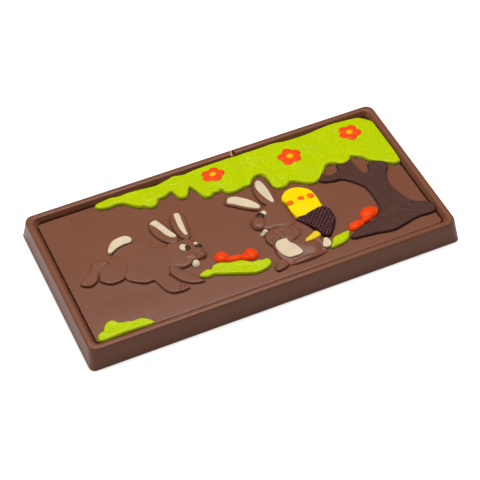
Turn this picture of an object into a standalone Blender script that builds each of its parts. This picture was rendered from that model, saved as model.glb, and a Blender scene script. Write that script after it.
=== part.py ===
"""A moulded chocolate bar with an Easter scene in low relief, as one fused solid.

Metres, +Z up. The origin is the middle of the underside, +X runs along the bar and +Y to its back edge.
The bar is a drafted slab with a rounded rim round a sunken panel. On the panel stand the forms of the
scene: leaves along the back, a tree, two rabbits, an egg in a basket, bushes, small eggs and flowers.
Each form is either a dome (a flattened ellipsoid) or a pillow (a smooth outline with rounded edges).
"""

import math

import bmesh
import bpy
from mathutils import Matrix

MM = 0.001

# The slab and its rim. The ends and the long sides have their own draft, and the rim's top falls a little
# to the inside.
LENGTH = 156.0 * MM
WIDTH = 77.7 * MM
HEIGHT = 10.0 * MM
END_DRAFT = 1.0 * MM
SIDE_DRAFT = 1.5 * MM
FOOT_CORNER_RADIUS = 2.3 * MM
TOP_CORNER_RADIUS = 3.6 * MM
FOOT_ROUNDING = 0.3 * MM
RIM_WIDTH = 2.9 * MM
RIM_ROUNDING = 0.9 * MM
RIM_INNER_RADIUS = 2.5 * MM
RIM_FALL = 0.05 * MM
PANEL_DEPTH = 2.2 * MM
PANEL_DRAFT = 1.0 * MM
PANEL_CORNER_RADIUS = 2.0 * MM
CORNER_STEPS = 6
ROUNDING_STEPS = 3
PANEL_TOP = HEIGHT - PANEL_DEPTH

# The relief: how deep each form is rooted in the slab, and how finely it is made
ROOT = 1.5 * MM
DOME_SINK = -0.15
EDGE_ROUNDING = 0.4 * MM
OUTLINE_STEPS = 3
DENSE_OUTLINE_STEPS = 2
DENSE_OUTLINE_POINTS = 10
SAME_POINT = 0.001 * MM
LARGE_DOME = (16, 6)
SMALL_DOME = (12, 6)
TINY_DOME = (10, 4)
SMALLEST_LARGE = 3.7
LARGEST_TINY = 2.1
SHARP_ANGLE = 35.0

# The chip in the back rim: a flake that widens from a point on the rim's outer edge to its inner wall
CHIP_X = 13.1 * MM
CHIP_POINT_INSET = 1.5 * MM
CHIP_LENGTH = 3.9 * MM
CHIP_RADIUS = 1.3 * MM
CHIP_SIDES = 7

# Colours, linear RGB
MILK_CHOCOLATE = (0.224, 0.098, 0.063)
DARK_CHOCOLATE = (0.085, 0.045, 0.034)
LEAF_GREEN = (0.52, 0.66, 0.0)
EGG_ORANGE = (0.90, 0.11, 0.02)
EGG_YELLOW = (0.95, 0.75, 0.0)
CREAM = (0.80, 0.68, 0.48)

# The forms of the relief are in mm and their turns in degrees. A rise is the height above the panel.
# Leaves along the back
LEAF_RISE = 1.35
LEAF_OUTLINE = [
    (-48.7, 31.5), (-48, 30.5), (-46.3, 29.5), (-43.4, 28.9), (-40.8, 29.2), (-38.8, 28.9),
    (-37, 28.1), (-35.5, 26.6), (-34, 25.1), (-32.5, 23.9), (-30.8, 23.8), (-29.7, 22.6),
    (-28.1, 21.9), (-26.6, 22.1), (-25.4, 23.1), (-24.3, 24.8), (-21.6, 25.1), (-19.8, 25.8),
    (-18.2, 26.6), (-17.3, 25.1), (-16.8, 23.1), (-16, 21.8), (-14.2, 21.2), (-12.7, 22.2),
    (-11.5, 24.1), (-10.1, 25.7), (-9.4, 24.1), (-8.6, 22.4), (-8, 20.1), (-6.8, 18), (-5.1, 17.4),
    (-3.8, 17.9), (-2.8, 18.8), (-0.8, 18.4), (0.8, 19.2), (1.4, 17.4), (2.6, 16.2), (5.1, 15.7),
    (7.6, 16), (9.9, 16.6), (12.1, 16.5), (13.2, 17.8), (14.7, 19.4), (16.7, 20.3), (18.6, 19.9),
    (19.6, 18.1), (19.9, 14.6), (20.2, 11.9), (21.5, 10.2), (23.4, 9.8), (25.9, 10.4), (27.1, 11.3),
    (28.9, 11), (29.9, 10.2), (31.9, 8.9), (34.3, 7.2), (36.8, 6.8), (39.1, 7.8), (40.8, 9.6),
    (42.7, 11.3), (44.4, 13.3), (46.4, 13.8), (48.6, 13.1), (49.8, 11.8), (51.6, 11.3),
    (53.6, 11.6), (55.1, 12.8), (56.3, 14), (57.6, 13.2), (59.1, 12.4), (60.5, 11), (61.5, 9.2),
    (63, 7.6), (65, 6.4), (67, 5), (68.9, 3.8), (70.8, 2.7), (73.1, 3.1), (73.7, 5.1), (73.9, 8.4),
    (73.9, 15.9), (73.8, 23.9), (73.7, 28.5), (71.7, 30.8), (69.2, 33.1), (65.2, 33.9),
    (59.3, 34.4), (51.4, 34.3), (45.4, 33.5), (37.5, 33.5), (29.6, 34.5), (19.7, 34.3), (9.8, 34.5),
    (-0.1, 34.4), (-6.1, 34.2), (-10.1, 33.6), (-14, 34.5), (-18, 33.6), (-22, 32.7), (-25.9, 32.9),
    (-33.9, 33.6), (-37.8, 33.3), (-41.8, 33.9), (-44.8, 33.7), (-46.9, 33.4), (-48.4, 32.7),
]

# Flowers on the leaves as (x, y, half length, half width, turn of the first petal)
FLOWERS = [(0.8, 27.9, 5.2, 4.1, -5), (33.4, 24.1, 5.3, 4.9, 18), (61.7, 26.3, 5.1, 4.7, 50)]
PETALS = 5
PETAL_REACH = 0.56
PETAL_SIZE = 0.44
CENTRE_SIZE = 0.6
HEART_SIZE = 0.29
PETAL_BASE = 1.15
PETAL_RISE = 1.85
HEART_BASE = 1.6
HEART_RISE = 2.0

# Bushes along the front
BUSH_RISE = 1.25
BUSHES = {
    "left_bush": [
        (-71.8, -31.3), (-71.4, -29.9), (-69.9, -28.9), (-68.7, -28.7), (-67.8, -27.1),
        (-66.4, -25.6), (-64.8, -25.2), (-63.2, -25.7), (-62.1, -27), (-60.5, -27.7),
        (-58.5, -28.2), (-56.9, -28.8), (-55.1, -28.7), (-52.6, -29.3), (-50.9, -30.6),
        (-49.9, -31.9), (-49.6, -32.9), (-51, -33.5), (-55.5, -33.4), (-61.5, -33.1),
        (-67.4, -33.4), (-70.9, -33.3), (-72, -32.5),
    ],
    "middle_bush": [
        (-25.5, -19.4), (-25, -18.5), (-23.5, -17.6), (-21.5, -17.2), (-20.1, -17.7),
        (-19.1, -16.6), (-16.9, -16), (-14.7, -16.4), (-12.6, -17.4), (-9.1, -18), (-6.6, -19),
        (-4.7, -20.6), (-3.5, -21.2), (-1.6, -21), (-0.1, -21.6), (1.6, -21.6), (2.5, -22.4),
        (2.7, -23.8), (2, -25.3), (-0.3, -26.5), (-3.8, -27), (-6.2, -26.7), (-9.2, -25.5),
        (-12.7, -23.9), (-16.6, -22.3), (-20.1, -20.8), (-22.1, -21.1), (-24.2, -20.5),
    ],
    "right_bush": [
        (26.8, -27.4), (28, -25.2), (29.8, -22.9), (32.5, -22.3), (35.8, -21.9), (36.9, -22.4),
        (36.5, -23.8), (35.2, -25.7), (33.3, -26.9), (29.9, -27.5),
    ],
}

# Plain small eggs as (x, y, half length, half width, turn)
SMALL_EGG_RISE = 1.45
SMALL_EGGS = {
    "left_eggs": [
        (-13.8, -13.4, 3, 2.9, 0), (-9.2, -16.4, 3.8, 1.9, -8), (-2.7, -16.8, 2.9, 3.2, 0),
        (-4.7, -17.4, 2.4, 2.2, 0),
    ],
    "right_eggs": [
        (48.7, -16.6, 4.2, 3.1, 8), (45.8, -19.4, 2.4, 1.7, 20), (41, -20.6, 3.7, 2.4, 14),
    ],
}

# The tree: its trunk with spread roots and two boughs
TREE_RISE = 1.1
TREE_OUTLINE = [
    (38, 8.3), (39.7, 5.7), (43.4, 4.5), (47, 3.9), (49, 2.3), (50.9, 0.1), (52.7, -2.3),
    (53.7, -5.1), (54, -10.1), (53.3, -16.2), (50.3, -19.8), (43.4, -22), (38.3, -23.8),
    (36.1, -26.2), (41.4, -27.4), (47.4, -28.3), (53.3, -29.4), (59.2, -28.3), (65.2, -27.1),
    (72.5, -27.1), (73.9, -24.1), (72.1, -21.1), (67.7, -18.5), (65.2, -14.1), (63.5, -6.1),
    (64.8, -0.7), (67.6, 3.9), (65.2, 7.9), (60.8, 7.9), (59.5, 5.1), (58.1, 3.5), (56.5, 4.3),
    (55.5, 8.9), (54.3, 13.9), (49, 12.9), (48, 9.9), (46, 8.5), (43, 8.6), (41.1, 10.3),
]

# The egg with its dots (x, y, half length), the basket and its strap
EGG_RISE = 1.5
EGG_OUTLINE = [
    (20, 3.3), (20.6, 5.3), (23.4, 7.8), (26.6, 8.3), (30, 7.2), (33, 4.2), (33.7, 0.3), (33.6, -5),
    (33, -9.2), (22.6, -9.2), (20.8, -5.2), (20.5, -1.7), (20.9, 1.2),
]
EGG_DOTS = [(22.3, 0.6, 1.2), (27.2, 0.9, 1.4), (31.3, 0.8, 1.3)]
DOT_BASE = 1.2
DOT_RISE = 1.66
BASKET_RISE = 1.55
BASKET_OUTLINE = [
    (21.1, -7.7), (24.9, -7.4), (28.7, -6.4), (33, -6.1), (35.2, -8.6), (35.5, -12.3),
    (34.4, -15.6), (31.1, -19.8), (28.7, -21.6), (27, -20.8), (25.4, -17.3), (24.4, -14.6),
    (21.3, -10.5),
]
STRAP_RISE = 1.2
STRAP_OUTLINE = [
    (19.2, -19.3), (22.7, -17.6), (25, -16.8), (26.2, -19.4), (23.9, -20.6), (19.7, -20.9),
    (18.9, -20.3),
]

# The running rabbit: pillows as (name, colour, rise, outline)
RUNNING_PILLOWS = [
    ("body", "milk", 1.0, [
        (-51.8, 5.6), (-47.1, 8.3), (-42.2, 7.9), (-38.9, 6.2), (-35.7, 2.9), (-33.3, -0.4),
        (-32.4, -4.9), (-33.4, -9.9), (-35.4, -13.6), (-34.6, -15.8), (-33.6, -18.5),
        (-31.8, -21.1), (-30.8, -22.5), (-31.9, -23.2), (-36.2, -23.1), (-39, -21.7), (-40.7, -18),
        (-42, -14), (-44.4, -13.9), (-47, -12.9), (-51.2, -9.2), (-52.4, -3.8), (-53.8, 1.9),
    ]),
    ("haunch", "milk", 1.3, [
        (-59.2, -0.6), (-56.9, 2.1), (-52.3, 4), (-48.9, 2.3), (-48.2, -2), (-49.7, -5.3),
        (-51.8, -8.1), (-53.7, -8.8), (-57.6, -8.6), (-60.1, -6.6), (-61.1, -5), (-60.6, -3.1),
    ]),
    ("hind_leg", "milk", 1.1, [
        (-60.4, 4.7), (-62.7, 1), (-65.5, -1.1), (-68.1, -3.3), (-68.3, -4.4), (-67.1, -5.6),
        (-64.7, -6.4), (-62, -5.2), (-60.2, -2.6), (-57.3, 1), (-55.1, 2.2), (-56.7, 3.7),
        (-58.5, 4.8),
    ]),
    ("far_foreleg", "milk", 0.9, [
        (-34.2, -9), (-31.6, -11.1), (-29.2, -14.5), (-26.6, -18.2), (-24.7, -20.6), (-24.3, -21.8),
        (-25.7, -22.2), (-29.2, -21.2), (-32.6, -18.3), (-34.5, -14.6), (-35.2, -12),
    ]),
    ("head", "milk", 1.2, [
        (-32.5, -0.6), (-30.4, 1.6), (-27.1, 1.2), (-24.2, 1.3), (-21.2, 0.5), (-19.3, -2.2),
        (-18.5, -5.8), (-18, -9), (-19.8, -11.2), (-22.1, -11), (-23.4, -11.2), (-25.5, -12.2),
        (-29, -12.7), (-31.6, -11.6), (-33.4, -9.5), (-33.6, -6.5), (-33.4, -3.4),
    ]),
    ("cheek", "milk", 1.4, [
        (-21.5, -8), (-22.3, -6.2), (-24.4, -5.4), (-26.5, -6.2), (-27.3, -8), (-26.5, -9.8),
        (-24.4, -10.6), (-22.3, -9.8),
    ]),
    ("nose", "milk", 1.55, [
        (-18.4, -9.3), (-18.9, -8), (-20.2, -7.4), (-21.5, -8), (-22, -9.3), (-21.5, -10.6),
        (-20.2, -11.2), (-18.9, -10.6),
    ]),
    ("left_ear", "milk", 1.0, [
        (-30.3, 16), (-32.5, 15), (-33.6, 12.8), (-33.6, 9.4), (-32.1, 5), (-30, 2.1), (-27.3, 0.6),
        (-25.2, 1.9), (-25, 4.4), (-25.9, 8.2), (-27.3, 12.6), (-28.6, 15),
    ]),
    ("right_ear", "milk", 1.0, [
        (-21.6, 16.3), (-23.2, 15.2), (-24.9, 11.6), (-25.3, 7.8), (-24.8, 4.3), (-23.7, 1.5),
        (-21, 0.6), (-19.7, 4.2), (-18.8, 8.7), (-18.4, 12.5), (-19.3, 15.3),
    ]),
    ("left_ear_lining", "cream", 1.15, [
        (-32.7, 13.8), (-31.3, 14.7), (-29.7, 14.8), (-28.7, 13), (-27.6, 10), (-26.5, 6.9),
        (-25.4, 3.9), (-26.2, 3), (-27.9, 3.8), (-29.2, 5.9), (-30.1, 8.3), (-31.3, 11.4),
        (-32.2, 12.8),
    ]),
    ("right_ear_lining", "cream", 1.15, [
        (-22.1, 14.7), (-20.9, 15), (-19.9, 14.2), (-20.1, 11.4), (-20.4, 8.2), (-20.8, 5.1),
        (-21.1, 2.5), (-22.1, 2.5), (-22.8, 4.8), (-23, 7.5), (-22.7, 11),
    ]),
    ("tail", "cream", 1.25, [
        (-52.9, 7.2), (-51.7, 9.3), (-49.2, 11.6), (-46.3, 12.3), (-44, 12.2), (-42.3, 11),
        (-42, 9.2), (-43.2, 8.7), (-45.9, 9), (-48.8, 8.6), (-50.9, 7.5), (-52.4, 6.7),
    ]),
]
# Domes as (name, colour, height of the middle, rise, x, y, half length, half width, turn)
RUNNING_DOMES = [
    ("chin", "cream", -0.15, 1.3, -24, -12.2, 1.6, 2, -20),
    ("left_eye_white", "cream", 1.0, 1.5, -25.4, -3.2, 1.6, 1.9, 10),
    ("right_eye_white", "cream", 0.9, 1.4, -20.3, -3.3, 0.9, 0.9, 0),
    ("left_pupil", "dark", 1.1, 1.7, -24.1, -4.1, 1.2, 1.4, 0),
    ("right_pupil", "dark", 0.9, 1.55, -19.9, -4.8, 1.6, 0.9, -12),
]

# The seated rabbit
SEATED_PILLOWS = [
    ("body", "milk", 0.95, [
        (6.4, -10), (12.8, -8.8), (19.7, -8.2), (23.6, -13.2), (25.4, -19.2), (25.4, -25.2),
        (24.4, -28.4), (16.9, -28.8), (8.9, -28.2), (6.4, -23.2), (6.4, -17.8),
    ]),
    ("head", "milk", 1.2, [
        (9.5, 2.6), (13.6, 4.3), (17.2, 3.9), (20, 2.1), (20.4, -2), (20.3, -6.9), (19.6, -9.6),
        (16.8, -10.7), (12.5, -9), (8.5, -8.8), (6.6, -7.2), (5.4, -5), (5.8, -2.3), (7.4, 1),
    ]),
    ("muzzle", "milk", 1.55, [
        (10.3, -3.7), (9.3, -1), (6.8, 0.1), (4.3, -1), (3.3, -3.7), (4.3, -6.4), (6.8, -7.5),
        (9.3, -6.4),
    ]),
    ("near_foot", "milk", 1.1, [
        (2.9, -26.4), (4, -24.9), (5.9, -24.6), (7.9, -25.8), (8.2, -28.3), (5.4, -29.5),
        (2.9, -29.5), (2.3, -28.3),
    ]),
    ("arm", "milk", 1.2, [
        (8.5, -12.2), (9.9, -10.3), (12.3, -8.9), (15, -8.9), (18, -10.4), (19.6, -13.4),
        (18.8, -15.6), (17.3, -16.8), (14.9, -17.5), (13.9, -16.5), (12.9, -15.5), (9.9, -14.9),
        (7.8, -15.2),
    ]),
    ("paw", "milk", 1.3, [
        (5.7, -11.2), (7.2, -10.4), (9.5, -10.8), (10.3, -12.6), (9.7, -14.8), (7.9, -16.3),
        (6.5, -16.8), (5.5, -15.2), (5.2, -12.9),
    ]),
    ("left_ear", "milk", 1.0, [
        (-1.1, 12.9), (0.6, 14.6), (4, 14.3), (8.4, 10.9), (11.1, 7.4), (12, 4.3), (10.5, 2.7),
        (8.1, 3.3), (4.4, 6), (0.9, 9.1), (-1.2, 11),
    ]),
    ("right_ear", "milk", 1.1, [
        (12.4, 15.5), (14.1, 18), (16.6, 19.1), (18.6, 17.4), (19.2, 13.3), (19.1, 7.9),
        (18.3, 3.4), (16.3, 2.2), (13.7, 3.7), (12.2, 6.2), (11.5, 10.8),
    ]),
    ("left_ear_lining", "cream", 1.15, [
        (-0.3, 11.6), (1, 13.6), (4.1, 13.2), (6.1, 11.7), (8, 9.8), (10.2, 6.7), (10.9, 3.9),
        (9.9, 3.4), (8.5, 4), (4.8, 6.7), (1.4, 9.8), (-0.1, 10.8),
    ]),
    ("right_ear_lining", "cream", 1.25, [
        (15.3, 17.5), (16.5, 17), (17.1, 15.4), (17.5, 11.5), (17.4, 7.1), (16.9, 4), (15.9, 4),
        (14.7, 6.7), (13.6, 10.7), (13.3, 14.3), (14, 16.3),
    ]),
    ("belly", "cream", 1.15, [
        (7.4, -17.2), (8.9, -15.6), (10.7, -15.4), (12.8, -15.7), (13.3, -17.8), (14.9, -20.2),
        (15.5, -22.3), (15.8, -24.6), (13.9, -25.6), (11.8, -25.5), (9.8, -25.2), (7.9, -22.7),
        (7.2, -19.8),
    ]),
    ("tail", "cream", 1.15, [
        (25, -23.3), (26.4, -21.7), (27.5, -22.1), (28, -24.4), (27.3, -26.2), (25.7, -26.7),
        (24.4, -26.1), (24.2, -24.9),
    ]),
]
SEATED_DOMES = [
    ("haunch", "milk", -0.15, 1.15, 20, -22.8, 5.2, 5.6, 0),
    ("long_foot", "milk", -0.15, 1.15, 16.6, -27.9, 8.6, 1.5, 1),
    ("chin", "cream", -0.15, 1.3, 7.2, -8.7, 1.3, 1.3, 0),
    ("chin_tip", "cream", -0.15, 1.1, 5.7, -9.6, 1.2, 0.9, 0),
    ("eye_white", "cream", 1.1, 1.6, 10.4, 0.1, 1.2, 1.3, -20),
    ("pupil", "dark", 1.2, 1.75, 8.8, -0.8, 1.6, 1.5, 0),
]


def clear_scene():
    for obj in list(bpy.data.objects):
        bpy.data.objects.remove(obj, do_unlink=True)


def new_collection(name):
    collection = bpy.data.collections.new(name)
    bpy.context.scene.collection.children.link(collection)
    return collection


def new_material(name, colour, roughness):
    material = bpy.data.materials.new(name)
    material.use_nodes = True
    shader = material.node_tree.nodes["Principled BSDF"]
    shader.inputs["Base Color"].default_value = (*colour, 1.0)
    shader.inputs["Roughness"].default_value = roughness
    shader.inputs["Metallic"].default_value = 0.0
    return material


def add_object(name, bm, collection, material):
    """Writes a bmesh to a new object and frees it."""
    mesh = bpy.data.meshes.new(name)
    bm.to_mesh(mesh)
    bm.free()
    mesh.materials.append(material)
    obj = bpy.data.objects.new(name, mesh)
    collection.objects.link(obj)
    return obj


def corner_ring(bm, half_x, half_y, radius, z):
    """The edges of one level rounded rectangle, made as four quarter arcs."""
    verts = []
    for quarter, (sign_x, sign_y) in enumerate([(1, 1), (-1, 1), (-1, -1), (1, -1)]):
        for step in range(CORNER_STEPS + 1):
            angle = math.pi / 2 * (quarter + step / CORNER_STEPS)
            x = sign_x * (half_x - radius) + radius * math.cos(angle)
            y = sign_y * (half_y - radius) + radius * math.sin(angle)
            verts.append(bm.verts.new((x, y, z)))
    return [bm.edges.new((verts[i - 1], verts[i])) for i in range(len(verts))]


def slab_sections():
    """Each level from the underside up and in, as (share of the draft, further inset, corner radius, z)."""
    sections = [
        (0, FOOT_ROUNDING, FOOT_CORNER_RADIUS - FOOT_ROUNDING, 0.0),
        (0, 0.0, FOOT_CORNER_RADIUS, FOOT_ROUNDING),
    ]
    for step in range(ROUNDING_STEPS + 1):
        angle = math.pi / 2 * step / ROUNDING_STEPS
        inset = RIM_ROUNDING * (1 - math.cos(angle))
        sections.append((1, inset, TOP_CORNER_RADIUS - inset, HEIGHT - RIM_ROUNDING * (1 - math.sin(angle))))
    for step in range(ROUNDING_STEPS + 1):
        angle = math.pi / 3 * step / ROUNDING_STEPS
        inset = RIM_WIDTH - RIM_ROUNDING * (1 - math.sin(angle))
        z = HEIGHT - RIM_FALL - RIM_ROUNDING * (1 - math.cos(angle))
        sections.append((1, inset, RIM_INNER_RADIUS, z))
    sections.append((1, RIM_WIDTH + PANEL_DRAFT, PANEL_CORNER_RADIUS, PANEL_TOP))
    return sections


def make_slab(collection, material):
    """The bare bar: stacked rounded rectangles bridged into walls, rim and panel."""
    bm = bmesh.new()
    rings = []
    for share, inset, radius, z in slab_sections():
        half_x = LENGTH / 2 - share * END_DRAFT - inset
        half_y = WIDTH / 2 - share * SIDE_DRAFT - inset
        rings.append(corner_ring(bm, half_x, half_y, radius, z))
    for lower, upper in zip(rings, rings[1:]):
        bmesh.ops.bridge_loops(bm, edges=lower + upper)
    bmesh.ops.contextual_create(bm, geom=rings[0])
    bmesh.ops.contextual_create(bm, geom=rings[-1])
    bmesh.ops.recalc_face_normals(bm, faces=bm.faces)
    return add_object("chocolate_bar", bm, collection, material)


def dome(name, material, collection, x, y, half_x, half_y, rise, turn=0.0, base=DOME_SINK):
    """A flattened ellipsoid with its middle at the base height and its top at the rise."""
    longest = max(half_x, half_y)
    segments, levels = TINY_DOME if longest < LARGEST_TINY else SMALL_DOME
    if longest > SMALLEST_LARGE:
        segments, levels = LARGE_DOME
    place = Matrix.Translation((x * MM, y * MM, PANEL_TOP + base * MM))
    place = place @ Matrix.Rotation(math.radians(turn), 4, "Z")
    place = place @ Matrix.Diagonal((half_x * MM, half_y * MM, (rise - base) * MM, 1))
    bm = bmesh.new()
    bmesh.ops.create_uvsphere(bm, u_segments=segments, v_segments=levels, radius=1, matrix=place)
    return add_object(name, bm, collection, material)


def pillow(name, material, collection, outline, rise):
    """A flat form with rounded edges on the smooth closed curve through the outline's points."""
    half_thickness = (rise * MM + ROOT) / 2
    curve = bpy.data.curves.new(name, "CURVE")
    curve.dimensions = "2D"
    curve.fill_mode = "BOTH"
    curve.resolution_u = OUTLINE_STEPS if len(outline) < DENSE_OUTLINE_POINTS else DENSE_OUTLINE_STEPS
    curve.extrude = half_thickness - EDGE_ROUNDING
    curve.bevel_depth = EDGE_ROUNDING
    curve.bevel_resolution = 1
    curve.offset = -EDGE_ROUNDING
    spline = curve.splines.new("BEZIER")
    spline.bezier_points.add(len(outline) - 1)
    spline.use_cyclic_u = True
    for point, (x, y) in zip(spline.bezier_points, outline):
        point.co = (x * MM, y * MM, 0)
        point.handle_left_type = "AUTO"
        point.handle_right_type = "AUTO"
    guide = bpy.data.objects.new(name + "_outline", curve)
    collection.objects.link(guide)
    bpy.context.view_layer.update()
    mesh = bpy.data.meshes.new_from_object(guide.evaluated_get(bpy.context.evaluated_depsgraph_get()))
    bpy.data.objects.remove(guide, do_unlink=True)
    bm = bmesh.new()
    bm.from_mesh(mesh)
    bmesh.ops.remove_doubles(bm, verts=bm.verts, dist=SAME_POINT)
    bmesh.ops.recalc_face_normals(bm, faces=bm.faces)
    bmesh.ops.translate(bm, verts=bm.verts, vec=(0, 0, PANEL_TOP + rise * MM - half_thickness))
    return add_object(name, bm, collection, material)


def make_flowers(collection, paint):
    """Round petals about a middle and a raised heart."""
    for number, (x, y, half_x, half_y, first) in enumerate(FLOWERS):
        name = f"flower_{number}"
        centre = (CENTRE_SIZE * half_x, CENTRE_SIZE * half_y)
        petal = (PETAL_SIZE * half_x, PETAL_SIZE * half_y)
        heart = (HEART_SIZE * half_x, HEART_SIZE * half_y)
        dome(f"{name}_middle", paint["orange"], collection, x, y, *centre, PETAL_RISE, 0, PETAL_BASE)
        for index in range(PETALS):
            angle = math.radians(first) + math.tau * index / PETALS
            petal_x = x + PETAL_REACH * half_x * math.cos(angle)
            petal_y = y + PETAL_REACH * half_y * math.sin(angle)
            petal_name = f"{name}_petal_{index}"
            dome(petal_name, paint["orange"], collection, petal_x, petal_y, *petal, PETAL_RISE, 0, PETAL_BASE)
        dome(f"{name}_heart", paint["yellow"], collection, x, y, *heart, HEART_RISE, 0, HEART_BASE)


def make_plants_and_eggs(collection, paint):
    pillow("leaves", paint["leaf"], collection, LEAF_OUTLINE, LEAF_RISE)
    for bush, outline in BUSHES.items():
        pillow(bush, paint["leaf"], collection, outline, BUSH_RISE)
    for heap, eggs in SMALL_EGGS.items():
        for number, (x, y, half_x, half_y, turn) in enumerate(eggs):
            name = f"{heap}_{number}"
            dome(name, paint["orange"], collection, x, y, half_x, half_y, SMALL_EGG_RISE, turn)
    pillow("tree", paint["dark"], collection, TREE_OUTLINE, TREE_RISE)


def make_basket(collection, paint):
    pillow("egg", paint["yellow"], collection, EGG_OUTLINE, EGG_RISE)
    for number, (x, y, half_x) in enumerate(EGG_DOTS):
        name = f"egg_dot_{number}"
        dome(name, paint["orange"], collection, x, y, half_x, half_x, DOT_RISE, 0, DOT_BASE)
    pillow("basket", paint["dark"], collection, BASKET_OUTLINE, BASKET_RISE)
    pillow("strap", paint["yellow"], collection, STRAP_OUTLINE, STRAP_RISE)


def make_rabbit(name, collection, paint, pillows, domes):
    for part, colour, rise, outline in pillows:
        pillow(f"{name}_{part}", paint[colour], collection, outline, rise)
    for part, colour, base, rise, x, y, half_x, half_y, turn in domes:
        dome(f"{name}_{part}", paint[colour], collection, x, y, half_x, half_y, rise, turn, base)


def make_chip_cutter(collection, material):
    """A lying cone at the level of the rim's top, with its point to the back."""
    middle = WIDTH / 2 - CHIP_POINT_INSET - CHIP_LENGTH / 2
    place = Matrix.Translation((CHIP_X, middle, HEIGHT)) @ Matrix.Rotation(-math.pi / 2, 4, "X")
    bm = bmesh.new()
    bmesh.ops.create_cone(
        bm, cap_ends=True, segments=CHIP_SIDES, radius1=CHIP_RADIUS, radius2=0, depth=CHIP_LENGTH,
        matrix=place,
    )
    cutter = add_object("chip_cutter", bm, collection, material)
    cutter.hide_render = True
    cutter.display_type = "WIRE"
    return cutter


def apply_modifiers(obj):
    bpy.context.view_layer.update()
    mesh = bpy.data.meshes.new_from_object(obj.evaluated_get(bpy.context.evaluated_depsgraph_get()))
    obj.modifiers.clear()
    obj.data = mesh


def fuse(bar, forms):
    """One union joins every form to the slab, and each face keeps the colour of the form it comes from."""
    union = bar.modifiers.new("join the relief", "BOOLEAN")
    union.operation = "UNION"
    union.operand_type = "COLLECTION"
    union.collection = forms
    union.solver = "EXACT"
    union.material_mode = "TRANSFER"
    apply_modifiers(bar)
    for obj in list(forms.objects):
        bpy.data.objects.remove(obj, do_unlink=True)
    bpy.data.collections.remove(forms)


def main():
    clear_scene()
    paint = {
        "milk": new_material("milk chocolate", MILK_CHOCOLATE, 0.42),
        "dark": new_material("dark chocolate", DARK_CHOCOLATE, 0.4),
        "leaf": new_material("leaf green chocolate", LEAF_GREEN, 0.4),
        "orange": new_material("orange chocolate", EGG_ORANGE, 0.4),
        "yellow": new_material("yellow chocolate", EGG_YELLOW, 0.4),
        "cream": new_material("cream chocolate", CREAM, 0.4),
    }
    bar_collection = new_collection("easter_chocolate_bar")
    cutters = new_collection("cutters")
    forms = new_collection("relief")
    bar = make_slab(bar_collection, paint["milk"])
    make_plants_and_eggs(forms, paint)
    make_flowers(forms, paint)
    make_basket(forms, paint)
    make_rabbit("running_rabbit", forms, paint, RUNNING_PILLOWS, RUNNING_DOMES)
    make_rabbit("seated_rabbit", forms, paint, SEATED_PILLOWS, SEATED_DOMES)
    fuse(bar, forms)
    chip = bar.modifiers.new("chip", "BOOLEAN")
    chip.operation = "DIFFERENCE"
    chip.object = make_chip_cutter(cutters, paint["milk"])
    bar.data.shade_smooth()
    bar.data.set_sharp_from_angle(angle=math.radians(SHARP_ANGLE))


main()
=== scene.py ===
# %% [markdown]
# A moulded Easter chocolate bar. The real bar is cast face down: coloured chocolate is brushed into the
# deepest parts of the mould, and milk chocolate is poured over it. So every leaf, egg and rabbit is a low,
# softly rounded form that grows out of one slab.
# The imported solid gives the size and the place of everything. This file replaces it with finer forms of
# the same outlines, and each piece is cast in one colour of chocolate.

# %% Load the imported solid
import math

import bmesh
import bpy
import numpy as np
from mathutils import Matrix, Vector, geometry, noise


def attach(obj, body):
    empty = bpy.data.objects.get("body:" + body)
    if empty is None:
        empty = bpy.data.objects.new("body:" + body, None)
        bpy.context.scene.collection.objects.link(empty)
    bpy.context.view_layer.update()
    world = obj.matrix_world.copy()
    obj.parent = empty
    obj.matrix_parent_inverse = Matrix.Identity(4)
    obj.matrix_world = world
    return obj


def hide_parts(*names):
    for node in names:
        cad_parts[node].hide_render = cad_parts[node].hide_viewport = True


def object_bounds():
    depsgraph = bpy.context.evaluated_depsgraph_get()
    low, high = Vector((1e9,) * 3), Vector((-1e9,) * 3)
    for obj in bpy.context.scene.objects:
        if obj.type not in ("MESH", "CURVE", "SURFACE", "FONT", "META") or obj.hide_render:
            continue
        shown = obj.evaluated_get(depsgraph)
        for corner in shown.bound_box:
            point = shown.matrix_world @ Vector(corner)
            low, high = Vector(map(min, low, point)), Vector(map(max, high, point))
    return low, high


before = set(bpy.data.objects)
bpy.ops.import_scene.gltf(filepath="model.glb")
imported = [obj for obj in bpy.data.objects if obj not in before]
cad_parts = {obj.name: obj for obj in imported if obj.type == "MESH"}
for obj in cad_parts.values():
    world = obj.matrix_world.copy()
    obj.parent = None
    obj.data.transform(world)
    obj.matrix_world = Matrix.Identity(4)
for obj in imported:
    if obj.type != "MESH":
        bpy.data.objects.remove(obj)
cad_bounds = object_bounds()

BODY = "root"
NODE = "chocolate_bar"
MM = 0.001
print("the solid's box in metres:", [[round(value, 5) for value in corner] for corner in cad_bounds])

# %% [markdown]
# The camera comes first, because every later choice is judged through it. The bar's outline in the picture
# fixes the view: the camera looks down from the left front with a long lens. Its place is the direction
# back from the bar's foot times the distance, and its axes fill the columns of its matrix.

# %% Camera
AZIMUTH = math.radians(-23.525)
ELEVATION = math.radians(47.645)
ROLL = math.radians(-1.195)
DISTANCE = 0.66275
SHIFT_RIGHT = 0.03 * MM
SHIFT_UP = -1.26 * MM
SENSOR = 36.0
LENS = 125.17
CLIP_START = 0.01

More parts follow.
